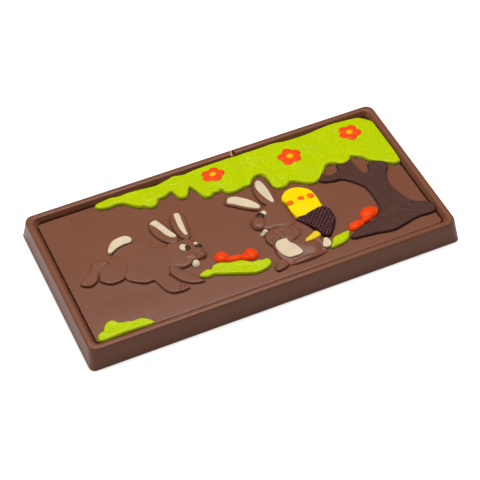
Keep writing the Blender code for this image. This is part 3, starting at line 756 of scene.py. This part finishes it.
# %% Leaves
LEAF_RISE = 1.35
LEAF_ROUNDING = 0.9
LEAF_OUTLINE = [
    (-48.7, 31.5), (-48, 30.5), (-46.3, 29.5), (-43.4, 28.9), (-40.8, 29.2), (-38.8, 28.9),
    (-37, 28.1), (-35.5, 26.6), (-34, 25.1), (-32.5, 23.9), (-30.8, 23.8), (-29.7, 22.6),
    (-28.1, 21.9), (-26.6, 22.1), (-25.4, 23.1), (-24.3, 24.8), (-21.6, 25.1), (-19.8, 25.8),
    (-18.2, 26.6), (-17.3, 25.1), (-16.8, 23.1), (-16, 21.8), (-14.2, 21.2), (-12.7, 22.2),
    (-11.5, 24.1), (-10.1, 25.7), (-9.4, 24.1), (-8.6, 22.4), (-8, 20.1), (-6.8, 18), (-5.1, 17.4),
    (-3.8, 17.9), (-2.8, 18.8), (-0.8, 18.4), (0.8, 19.2), (1.4, 17.4), (2.6, 16.2), (5.1, 15.7),
    (7.6, 16), (9.9, 16.6), (12.1, 16.5), (13.2, 17.8), (14.7, 19.4), (16.7, 20.3), (18.6, 19.9),
    (19.6, 18.1), (19.9, 14.6), (20.2, 11.9), (21.5, 10.2), (23.4, 9.8), (25.9, 10.4), (27.1, 11.3),
    (28.9, 11), (29.9, 10.2), (31.9, 8.9), (34.3, 7.2), (36.8, 6.8), (39.1, 7.8), (40.8, 9.6),
    (42.7, 11.3), (44.4, 13.3), (46.4, 13.8), (48.6, 13.1), (49.8, 11.8), (51.6, 11.3),
    (53.6, 11.6), (55.1, 12.8), (56.3, 14), (57.6, 13.2), (59.1, 12.4), (60.5, 11), (61.5, 9.2),
    (63, 7.6), (65, 6.4), (67, 5), (68.9, 3.8), (70.8, 2.7), (73.1, 3.1), (73.7, 5.1), (73.9, 8.4),
    (73.9, 15.9), (73.8, 23.9), (73.7, 28.5), (71.7, 30.8), (69.2, 33.1), (65.2, 33.9),
    (59.3, 34.4), (51.4, 34.3), (45.4, 33.5), (37.5, 33.5), (29.6, 34.5), (19.7, 34.3), (9.8, 34.5),
    (-0.1, 34.4), (-6.1, 34.2), (-10.1, 33.6), (-14, 34.5), (-18, 33.6), (-22, 32.7), (-25.9, 32.9),
    (-33.9, 33.6), (-37.8, 33.3), (-41.8, 33.9), (-44.8, 33.7), (-46.9, 33.4), (-48.4, 32.7),
]
leaves_mesh = pillow(LEAF_OUTLINE, LEAF_RISE, LEAF_ROUNDING, voxel=0.225)
roughen(leaves_mesh, size=5.0, amount=0.2, seed=1)
roughen(leaves_mesh, size=0.9, amount=0.07, seed=2)
add_piece("leaves", leaves_mesh, LEAF)

# %% [markdown]
# Each flower is five round petals about a raised heart, and stands on the leaves. The petals are placed by
# a loop round the circle, and fused so that the creases between them stay soft. A flower's five numbers are
# its place, its half length and half width in mm, and the direction of its first petal in degrees.

# %% Flowers
FLOWERS = [(0.8, 27.9, 5.2, 4.1, -5), (33.4, 24.1, 5.3, 4.9, 18), (61.7, 26.3, 5.1, 4.7, 50)]
PETALS = 5
PETAL_REACH = 0.56
PETAL_SIZE = 0.44
CENTRE_SIZE = 0.6
HEART_SIZE = 0.29
PETAL_BASE = 1.15
PETAL_RISE = 1.75
HEART_BASE = 1.6
HEART_RISE = 2.0
for number, (x, y, half_x, half_y, first) in enumerate(FLOWERS):
    petals = [dome(x, y, CENTRE_SIZE * half_x, CENTRE_SIZE * half_y, PETAL_RISE, base=PETAL_BASE)]
    for index in range(PETALS):
        angle = math.radians(first) + math.tau * index / PETALS
        petal_x = x + PETAL_REACH * half_x * math.cos(angle)
        petal_y = y + PETAL_REACH * half_y * math.sin(angle)
        halves = PETAL_SIZE * half_x, PETAL_SIZE * half_y
        petals.append(dome(petal_x, petal_y, *halves, PETAL_RISE, base=PETAL_BASE))
    add_piece(f"flower_{number}_petals", fuse("petals", petals, voxel=0.12, softening=2), PETAL)
    heart = dome(x, y, HEART_SIZE * half_x, HEART_SIZE * half_y, HEART_RISE, base=HEART_BASE)
    add_piece(f"flower_{number}_heart", heart, HEART)

# %% [markdown]
# The bushes are made in the same way as the leaves, each from its own scalloped outline.

# %% Bushes
BUSH_RISE = 1.25
BUSHES = {
    "left_bush": [
        (-71.8, -31.3), (-71.4, -29.9), (-69.9, -28.9), (-68.7, -28.7), (-67.8, -27.1),
        (-66.4, -25.6), (-64.8, -25.2), (-63.2, -25.7), (-62.1, -27), (-60.5, -27.7),
        (-58.5, -28.2), (-56.9, -28.8), (-55.1, -28.7), (-52.6, -29.3), (-50.9, -30.6),
        (-49.9, -31.9), (-49.6, -32.9), (-51, -33.5), (-55.5, -33.4), (-61.5, -33.1),
        (-67.4, -33.4), (-70.9, -33.3), (-72, -32.5),
    ],
    "middle_bush": [
        (-25.5, -19.4), (-25, -18.5), (-23.5, -17.6), (-21.5, -17.2), (-20.1, -17.7),
        (-19.1, -16.6), (-16.9, -16), (-14.7, -16.4), (-12.6, -17.4), (-9.1, -18), (-6.6, -19),
        (-4.7, -20.6), (-3.5, -21.2), (-1.6, -21), (-0.1, -21.6), (1.6, -21.6), (2.5, -22.4),
        (2.7, -23.8), (2, -25.3), (-0.3, -26.5), (-3.8, -27), (-6.2, -26.7), (-9.2, -25.5),
        (-12.7, -23.9), (-16.6, -22.3), (-20.1, -20.8), (-22.1, -21.1), (-24.2, -20.5),
    ],
    "right_bush": [
        (26.8, -27.4), (28, -25.2), (29.8, -22.9), (32.5, -22.3), (35.8, -21.9), (36.9, -22.4),
        (36.5, -23.8), (35.2, -25.7), (33.3, -26.9), (29.9, -27.5),
    ],
}
for number, (bush, outline) in enumerate(BUSHES.items()):
    bush_mesh = pillow(outline, BUSH_RISE, LEAF_ROUNDING)
    roughen(bush_mesh, size=4.0, amount=0.16, seed=5 + number)
    roughen(bush_mesh, size=0.9, amount=0.07, seed=8 + number)
    add_piece(bush, bush_mesh, LEAF)

# %% [markdown]
# The small eggs lie half hidden in the grass, in two heaps. Each is a dome, and a heap is fused into one.

# %% Small eggs
SMALL_EGG_RISE = 1.45
SMALL_EGGS = {
    "left_eggs": [
        (-13.8, -13.4, 3, 2.9, 0), (-9.2, -16.4, 3.8, 1.9, -8), (-2.7, -16.8, 2.9, 3.2, 0),
        (-4.7, -17.4, 2.4, 2.2, 0),
    ],
    "right_eggs": [
        (48.7, -16.6, 4.2, 3.1, 8), (45.8, -19.4, 2.4, 1.7, 20), (41, -20.6, 3.7, 2.4, 14),
    ],
}
for heap, eggs in SMALL_EGGS.items():
    domes = [dome(x, y, half_x, half_y, SMALL_EGG_RISE, turn) for x, y, half_x, half_y, turn in eggs]
    add_piece(heap, fuse(heap, domes, voxel=0.18, softening=2), ORANGE)

# %% [markdown]
# The tree is one outline: boughs that vanish under the leaves, a trunk, and roots that spread along the
# ground. Its bark is a fan of grooves. Each groove is a blend of the trunk's left and right edges, so the
# grooves part at the roots just as the wood would. Five deeper ones run out along the roots.

# %% Tree
TREE_RISE = 1.1
TREE_OUTLINE = [
    (38, 8.3), (39.7, 5.7), (43.4, 4.5), (47, 3.9), (49, 2.3), (50.9, 0.1), (52.7, -2.3),
    (53.7, -5.1), (54, -10.1), (53.3, -16.2), (50.3, -19.8), (43.4, -22), (38.3, -23.8),
    (36.1, -26.2), (41.4, -27.4), (47.4, -28.3), (53.3, -29.4), (59.2, -28.3), (65.2, -27.1),
    (72.5, -27.1), (73.9, -24.1), (72.1, -21.1), (67.7, -18.5), (65.2, -14.1), (63.5, -6.1),
    (64.8, -0.7), (67.6, 3.9), (65.2, 7.9), (60.8, 7.9), (59.5, 5.1), (58.1, 3.5), (56.5, 4.3),
    (55.5, 8.9), (54.3, 13.9), (49, 12.9), (48, 9.9), (46, 8.5), (43, 8.6), (41.1, 10.3),
]
TRUNK_LEFT = [
    (48.4, 5.9), (52.3, 0.9), (53.7, -5.1), (53.9, -12.1), (52.3, -18.2), (46.4, -21.6),
    (38.1, -25.2),
]
TRUNK_RIGHT = [
    (66.2, 4.9), (64.4, -0.1), (63.5, -6.1), (64.6, -12.1), (66.6, -17.1), (69.7, -20.5),
    (73.1, -22.7),
]
BARK_GROOVES = 9
ROOT_GROOVES = [
    [(64.8, -12.5), (66.8, -17.8), (69.8, -21), (73, -23.3)],
    [(61, -13), (63.6, -19.2), (68, -22.8), (72.6, -24.8)],
    [(57.6, -14), (60, -20.6), (65.4, -24.4), (72, -26.1)],
    [(55.6, -13), (53, -19.6), (46, -23), (38.5, -25.4)],
    [(57.2, -16), (55.4, -22.2), (48.8, -25.2), (40, -26.6)],
]
tree_mesh = pillow(TREE_OUTLINE, TREE_RISE, rounding=0.7)
grooves = []
for index in range(1, BARK_GROOVES):
    share = index / BARK_GROOVES
    grooves.append([tuple(Vector(a).lerp(Vector(b), share)) for a, b in zip(TRUNK_LEFT, TRUNK_RIGHT)])
engrave(tree_mesh, grooves, width=0.5, depth=0.06)
engrave(tree_mesh, ROOT_GROOVES, width=0.5, depth=0.12)
roughen(tree_mesh, size=2.2, amount=0.14, seed=8)
add_piece("tree", tree_mesh, DARK)

# %% [markdown]
# The big egg stands in a woven basket. The egg is a pillow crowned with a dome, and the basket is a
# tapering pillow whose top is lifted and sunk by a weave: rows that bow a little, crossed by stakes, with
# every other row shifted by half a stitch.

# %% Egg and basket
EGG_RISE = 1.5
EGG_OUTLINE = [
    (20, 3.3), (20.6, 5.3), (23.4, 7.8), (26.6, 8.3), (30, 7.2), (33, 4.2), (33.7, 0.3), (33.6, -5),
    (33, -9.2), (22.6, -9.2), (20.8, -5.2), (20.5, -1.7), (20.9, 1.2),
]
EGG_DOTS = [(22.3, 0.6, 1.4), (27.2, 0.9, 1.6), (31.3, 0.8, 1.5)]
DOT_OVAL = 0.9
DOT_BASE = 1.2
DOT_RISE = 1.66
BASKET_RISE = 1.55
BASKET_OUTLINE = [
    (21.1, -7.7), (24.9, -7.4), (28.7, -6.4), (33, -6.1), (35.2, -8.6), (35.5, -12.3),
    (34.4, -15.6), (31.1, -19.8), (28.7, -21.6), (27, -20.8), (25.4, -17.3), (24.4, -14.6),
    (21.3, -10.5),
]
STRAP_RISE = 1.2
STRAP_OUTLINE = [
    (19.2, -19.3), (22.7, -17.6), (25, -16.8), (26.2, -19.4), (23.9, -20.6), (19.7, -20.9),
    (18.9, -20.3),
]
ROW_PITCH = 0.95
STITCH_PITCH = 1.9
WEAVE_MIDDLE = 28.2
WEAVE_BOW = 0.004
WEAVE_DEPTH = 0.38
WEAVE_MEAN = 0.6
WEAVE_FLOOR = 0.6 * MM
STITCH_SHARE = 0.2

egg_forms = [
    pillow(EGG_OUTLINE, EGG_RISE - 0.3, rounding=1.0),
    dome(x=27.1, y=-1.2, half_x=6.7, half_y=9.2, rise=EGG_RISE),
]
add_piece("big_egg", fuse("egg", egg_forms, voxel=0.2, softening=5), YELLOW)
for number, (x, y, radius) in enumerate(EGG_DOTS):
    add_piece(f"egg_dot_{number}", dome(x, y, radius, DOT_OVAL * radius, DOT_RISE, base=DOT_BASE), DOT)

basket_mesh = pillow(BASKET_OUTLINE, BASKET_RISE, rounding=0.6, voxel=0.15)
basket_points = positions(basket_mesh)
across = basket_points[:, 0] / MM - WEAVE_MIDDLE
row = (basket_points[:, 1] / MM + WEAVE_BOW * across ** 2) / ROW_PITCH
stitch = across / STITCH_PITCH + 0.5 * (np.floor(row) % 2)
weave = np.abs(np.sin(np.pi * row)) * (1 - STITCH_SHARE + STITCH_SHARE * np.cos(2 * np.pi * stitch))
raised = basket_points[:, 2] > PANEL_TOP + WEAVE_FLOOR
basket_points[raised, 2] += (WEAVE_DEPTH * MM * (weave - WEAVE_MEAN))[raised]
set_positions(basket_mesh, basket_points)
add_piece("basket", basket_mesh, BASKET)
add_piece("basket_strap", pillow(STRAP_OUTLINE, STRAP_RISE, rounding=0.5), STRAP)

# %% [markdown]
# The rabbits are the same milk chocolate as the slab. Each is a heap of pillows, with a dome or two where a
# form is round, fused into one skin. Soft parts, such as the head and muzzle, get a wider rounding, and
# fades let the bodies, heads and the haunch run out where the mould has no edge. The lines of the drawing,
# such as toes, mouth and folds, are pressed in afterwards as grooves. Cream and dark parts are pieces of
# their own. A pillow has a rise and an outline. A dome has a base, a rise, a place, two half sizes and a
# turn. All are in mm and degrees.

# %% Rabbit maker
COLOURS = {"cream": CREAM, "dark": PUPIL}
MILK_ROUNDING = 0.65
MILK_VOXEL = 0.16
INLAY_ROUNDING = 0.2
INLAY_VOXEL = 0.12
SOFT_PARTS = {"head": 1.5, "muzzle": 2.4, "cheek": 2.0, "nose": 1.6}
FADES = {
    ("running_rabbit", "haunch"): (90, -4.0, 0.012), ("running_rabbit", "head"): (180, 28.0, 0.06),
    ("running_rabbit", "body"): (180, 47.0, 0.06), ("seated_rabbit", "body"): (-90, 21.0, 0.09),
    ("seated_rabbit", "head"): (-50, 16.0, 0.1),
}


def make_rabbit(name, pillows, domes, grooves, fine_grooves):
    """Fuses the milk chocolate forms, engraves them, and adds the cream and dark forms."""
    milk = []
    for part, colour, rise, outline in pillows:
        if colour == "milk":
            form = pillow(outline, rise, SOFT_PARTS.get(part, MILK_ROUNDING))
            if (name, part) in FADES:
                fade(form, *FADES[name, part])
            milk.append(form)
    for _, colour, base, rise, x, y, half_x, half_y, turn in domes:
        if colour == "milk":
            milk.append(dome(x, y, half_x, half_y, rise, turn, base))
    body = fuse(name, milk, MILK_VOXEL, softening=1)
    engrave(body, grooves, width=0.55, depth=0.3)
    engrave(body, fine_grooves, width=0.35, depth=0.18)
    add_piece(name, body, MILK)
    for part, colour, rise, outline in pillows:
        if colour != "milk":
            inlay = pillow(outline, rise, INLAY_ROUNDING, INLAY_VOXEL)
            add_piece(f"{name}_{part}", inlay, COLOURS[colour])
    for part, colour, base, rise, x, y, half_x, half_y, turn in domes:
        if colour != "milk":
            cap = dome(x, y, half_x, half_y, rise, turn, base)
            add_piece(f"{name}_{part}", cap, COLOURS[colour])


# %% Running rabbit
RUNNING_PILLOWS = [
    ("body", "milk", 1.0, [
        (-51.8, 5.4), (-47.1, 7.7), (-42.2, 7.7), (-38.9, 6.2), (-35.7, 2.9), (-31.5, 0.2),
        (-29.5, -4.9), (-31.8, -10.4), (-35.4, -13.6), (-34.6, -15.8), (-33.6, -18.5),
        (-31.8, -21.1), (-30.8, -22.5), (-31.9, -23.2), (-36.2, -23.1), (-39, -21.7), (-40.7, -18),
        (-42, -14), (-44.4, -13.9), (-47, -12.9), (-51.2, -9.2), (-52.4, -3.8), (-53.8, 1.9),
    ]),
    ("haunch", "milk", 1.08, [
        (-59.2, -0.6), (-56.9, 2.1), (-52.3, 4), (-48.9, 2.3), (-48.2, -2), (-49.7, -5.3),
        (-51.8, -8.1), (-53.7, -8.8), (-57.6, -8.6), (-60.1, -6.6), (-61.1, -5), (-60.6, -3.1),
    ]),
    ("hind_leg", "milk", 1.1, [
        (-60.4, 4.7), (-62.7, 1), (-65.5, -1.1), (-68.1, -3.3), (-68.3, -4.4), (-67.1, -5.6),
        (-64.7, -6.4), (-62, -5.2), (-60.2, -2.6), (-57.3, 1), (-55.1, 2.2), (-56.7, 3.7),
        (-58.5, 4.8),
    ]),
    ("far_foreleg", "milk", 0.9, [
        (-34.2, -9), (-31.6, -11.1), (-29.2, -14.5), (-26.6, -18.2), (-24.7, -20.6), (-24.3, -21.8),
        (-25.7, -22.2), (-29.2, -21.2), (-32.6, -18.3), (-34.5, -14.6), (-35.2, -12),
    ]),
    ("head", "milk", 1.2, [
        (-32.5, -0.6), (-30.4, 1.6), (-27.1, 1.2), (-24.2, 1.3), (-21.2, 0.5), (-19.3, -2.2),
        (-18.5, -5.8), (-18, -9), (-19.8, -11.2), (-22.1, -11), (-23.4, -11.2), (-25.5, -12.2),
        (-29, -12.7), (-31.6, -11.6), (-33.4, -9.5), (-33.6, -6.5), (-33.4, -3.4),
    ]),
    ("cheek", "milk", 1.4, [
        (-21.5, -8), (-22.3, -6.2), (-24.4, -5.4), (-26.5, -6.2), (-27.3, -8), (-26.5, -9.8),
        (-24.4, -10.6), (-22.3, -9.8),
    ]),
    ("nose", "milk", 1.55, [
        (-18.4, -9.3), (-18.9, -8), (-20.2, -7.4), (-21.5, -8), (-22, -9.3), (-21.5, -10.6),
        (-20.2, -11.2), (-18.9, -10.6),
    ]),
    ("left_ear", "milk", 1.0, [
        (-30.3, 16), (-32.5, 15), (-33.6, 12.8), (-33.6, 9.4), (-32.1, 5), (-30, 2.1), (-27.3, 0.6),
        (-25.2, 1.9), (-25, 4.4), (-25.9, 8.2), (-27.3, 12.6), (-28.6, 15),
    ]),
    ("right_ear", "milk", 1.0, [
        (-21.6, 16.3), (-23.2, 15.2), (-24.9, 11.6), (-25.3, 7.8), (-24.8, 4.3), (-23.7, 1.5),
        (-21, 0.6), (-19.7, 4.2), (-18.8, 8.7), (-18.4, 12.5), (-19.3, 15.3),
    ]),
    ("left_ear_lining", "cream", 1.15, [
        (-32.7, 13.8), (-31.3, 14.7), (-29.7, 14.8), (-28.7, 13), (-27.6, 10), (-26.5, 6.9),
        (-25.4, 3.9), (-26.2, 3), (-27.9, 3.8), (-29.2, 5.9), (-30.1, 8.3), (-31.3, 11.4),
        (-32.2, 12.8),
    ]),
    ("right_ear_lining", "cream", 1.15, [
        (-22.1, 14.7), (-20.9, 15), (-19.9, 14.2), (-20.1, 11.4), (-20.4, 8.2), (-20.8, 5.1),
        (-21.1, 2.5), (-22.1, 2.5), (-22.8, 4.8), (-23, 7.5), (-22.7, 11),
    ]),
    ("tail", "cream", 1.25, [
        (-52.9, 7), (-51.7, 9.3), (-49.2, 11.6), (-46.3, 12.3), (-44, 12.2), (-42.3, 11), (-42, 9),
        (-43.2, 8), (-45.9, 8), (-48.8, 7.4), (-50.9, 6.4), (-52.4, 5.9),
    ]),
]
RUNNING_DOMES = [
    ("chin", "cream", -0.15, 1.3, -24, -12.2, 1.6, 2, -20),
    ("left_eye_white", "cream", 1.0, 1.5, -25.4, -3.2, 1.6, 1.9, 10),
    ("right_eye_white", "cream", 0.9, 1.4, -20.3, -3.3, 0.9, 0.9, 0),
    ("left_pupil", "dark", 1.1, 1.7, -24.1, -4.1, 1.2, 1.4, 0),
    ("right_pupil", "dark", 0.9, 1.55, -19.9, -4.8, 1.6, 0.9, -12),
]
RUNNING_GROOVES = [
    [(-61, -4.6), (-60.3, -2.6), (-59.4, -0.4)],
    [(-54.9, 1.2), (-54.8, 3), (-54, 4.8)],
    [(-37.4, 3.2), (-36.2, 2), (-35, 1.4)],
    [(-33.9, -10.2), (-35, -12.6), (-35.4, -14.2)],
]
RUNNING_FINE_GROOVES = [
    [(-66.6, -5.9), (-65.8, -4.8), (-64.8, -4)],
    [(-65.2, -6.2), (-64.4, -5.2), (-63.4, -4.6)],
    [(-35.2, -23.4), (-34.4, -21.6), (-33.6, -20.4)],
    [(-33.6, -23.4), (-32.8, -22), (-32.4, -21)],
    [(-26.6, -10.6), (-24.6, -10.9), (-22.6, -10.2), (-22, -8.6)],
    [(-21.6, 0.4), (-21.4, -1), (-21.2, -2.2)],
    [(-29.8, -13.6), (-27.6, -15.6), (-25.6, -18.4)],
]
make_rabbit("running_rabbit", RUNNING_PILLOWS, RUNNING_DOMES, RUNNING_GROOVES, RUNNING_FINE_GROOVES)

# %% Seated rabbit
SEATED_PILLOWS = [
    ("body", "milk", 0.95, [
        (6.4, -10), (12.8, -8.8), (19.7, -8.2), (23.6, -13.2), (25.4, -19.2), (25.4, -25.2),
        (24.4, -28.4), (16.9, -28.8), (8.9, -28.2), (6.4, -23.2), (6.4, -17.8),
    ]),
    ("head", "milk", 1.2, [
        (9.5, 2.6), (13.6, 4.3), (17.2, 3.9), (20, 2.1), (20.4, -2), (20.3, -6.9), (19.6, -9.6),
        (16.8, -10.7), (12.5, -9), (8.5, -8.8), (6.6, -7.2), (5.4, -5), (5.8, -2.3), (7.4, 1),
    ]),
    ("muzzle", "milk", 1.65, [
        (10.3, -3.7), (9.3, -1), (6.8, 0.1), (4.3, -1), (3.3, -3.7), (4.3, -6.4), (6.8, -7.5),
        (9.3, -6.4),
    ]),
    ("near_foot", "milk", 1.1, [
        (2.9, -26.4), (4, -24.9), (5.9, -24.6), (7.9, -25.8), (8.2, -28.3), (5.4, -29.5),
        (2.9, -29.5), (2.3, -28.3),
    ]),
    ("arm", "milk", 1.2, [
        (8.5, -12.2), (9.9, -10.3), (12.3, -8.9), (15, -8.9), (18, -10.4), (19.6, -13.4),
        (18.8, -15.6), (17.3, -16.8), (14.9, -17.5), (13.9, -16.5), (12.9, -15.5), (9.9, -14.9),
        (7.8, -15.2),
    ]),
    ("paw", "milk", 1.3, [
        (5.7, -11.2), (7.2, -10.4), (9.5, -10.8), (10.3, -12.6), (9.7, -14.8), (7.9, -16.3),
        (6.5, -16.8), (5.5, -15.2), (5.2, -12.9),
    ]),
    ("left_ear", "milk", 1.0, [
        (-1.1, 12.9), (0.6, 14.6), (4, 14.3), (8.4, 10.9), (11.1, 7.4), (12, 4.3), (10.5, 2.7),
        (8.1, 3.3), (4.4, 6), (0.9, 9.1), (-1.2, 11),
    ]),
    ("right_ear", "milk", 1.1, [
        (12.4, 15.5), (14.1, 18), (16.6, 19.1), (18.6, 17.4), (19.2, 13.3), (19.1, 7.9),
        (18.3, 3.4), (16.3, 2.2), (13.7, 3.7), (12.2, 6.2), (11.5, 10.8),
    ]),
    ("left_ear_lining", "cream", 1.15, [
        (-0.3, 11.6), (1, 13.6), (4.1, 13.2), (6.1, 11.7), (8, 9.8), (10.2, 6.7), (10.9, 3.9),
        (9.9, 3.4), (8.5, 4), (4.8, 6.7), (1.4, 9.8), (-0.1, 10.8),
    ]),
    ("right_ear_lining", "cream", 1.25, [
        (15.3, 17.5), (16.5, 17), (17.1, 15.4), (17.5, 11.5), (17.4, 7.1), (16.9, 4), (15.9, 4),
        (14.7, 6.7), (13.6, 10.7), (13.3, 14.3), (14, 16.3),
    ]),
    ("belly", "cream", 1.15, [
        (7.4, -17.2), (8.9, -15.6), (10.7, -15.4), (12.8, -15.7), (13.3, -17.8), (14.9, -20.2),
        (15.5, -22.3), (15.8, -24.6), (13.9, -25.6), (11.8, -25.5), (9.8, -25.2), (7.9, -22.7),
        (7.2, -19.8),
    ]),
    ("tail", "cream", 1.15, [
        (25, -23.3), (26.4, -21.7), (27.5, -22.1), (28, -24.4), (27.3, -26.2), (25.7, -26.7),
        (24.4, -26.1), (24.2, -24.9),
    ]),
]
SEATED_DOMES = [
    ("haunch", "milk", -0.15, 1.15, 20, -22.8, 5.2, 5.6, 0),
    ("long_foot", "milk", -0.15, 1.15, 16.6, -27.9, 8.6, 1.5, 1),
    ("chin", "cream", -0.15, 1.3, 7.2, -8.7, 1.3, 1.3, 0),
    ("chin_tip", "cream", -0.15, 1.1, 5.7, -9.6, 1.2, 0.9, 0),
    ("eye_white", "cream", 1.1, 1.6, 10.4, 0.1, 1.2, 1.3, -20),
    ("pupil", "dark", 1.2, 1.75, 8.8, -0.8, 1.6, 1.5, 0),
]
SEATED_GROOVES = [
    [(16.1, -10.9), (18.3, -10.4), (20.1, -9)],
    [(14.7, -17.8), (17.3, -17.2), (19.1, -15.8), (19.9, -13.6)],
]
SEATED_FINE_GROOVES = [
    [(10.4, -11.4), (10.9, -12.9), (10.8, -14.8)],
    [(12.4, -10.6), (13.2, -12.4), (13, -15)],
    [(15.2, -9.8), (16.6, -11.6), (16.8, -14.4)],
    [(6.2, -15.6), (6.5, -14.4), (6.6, -13.4)],
    [(7.5, -15.8), (7.6, -14.4), (7.7, -13.4)],
    [(8.8, -15.2), (8.9, -14), (8.9, -13)],
    [(3.4, -28.2), (4.2, -26.6), (5.9, -26.2), (6.6, -27.4), (5.6, -28.6), (4.5, -28.2)],
    [(10.2, -28.7), (10.6, -27.7), (11.2, -26.9)],
]
make_rabbit("seated_rabbit", SEATED_PILLOWS, SEATED_DOMES, SEATED_GROOVES, SEATED_FINE_GROOVES)
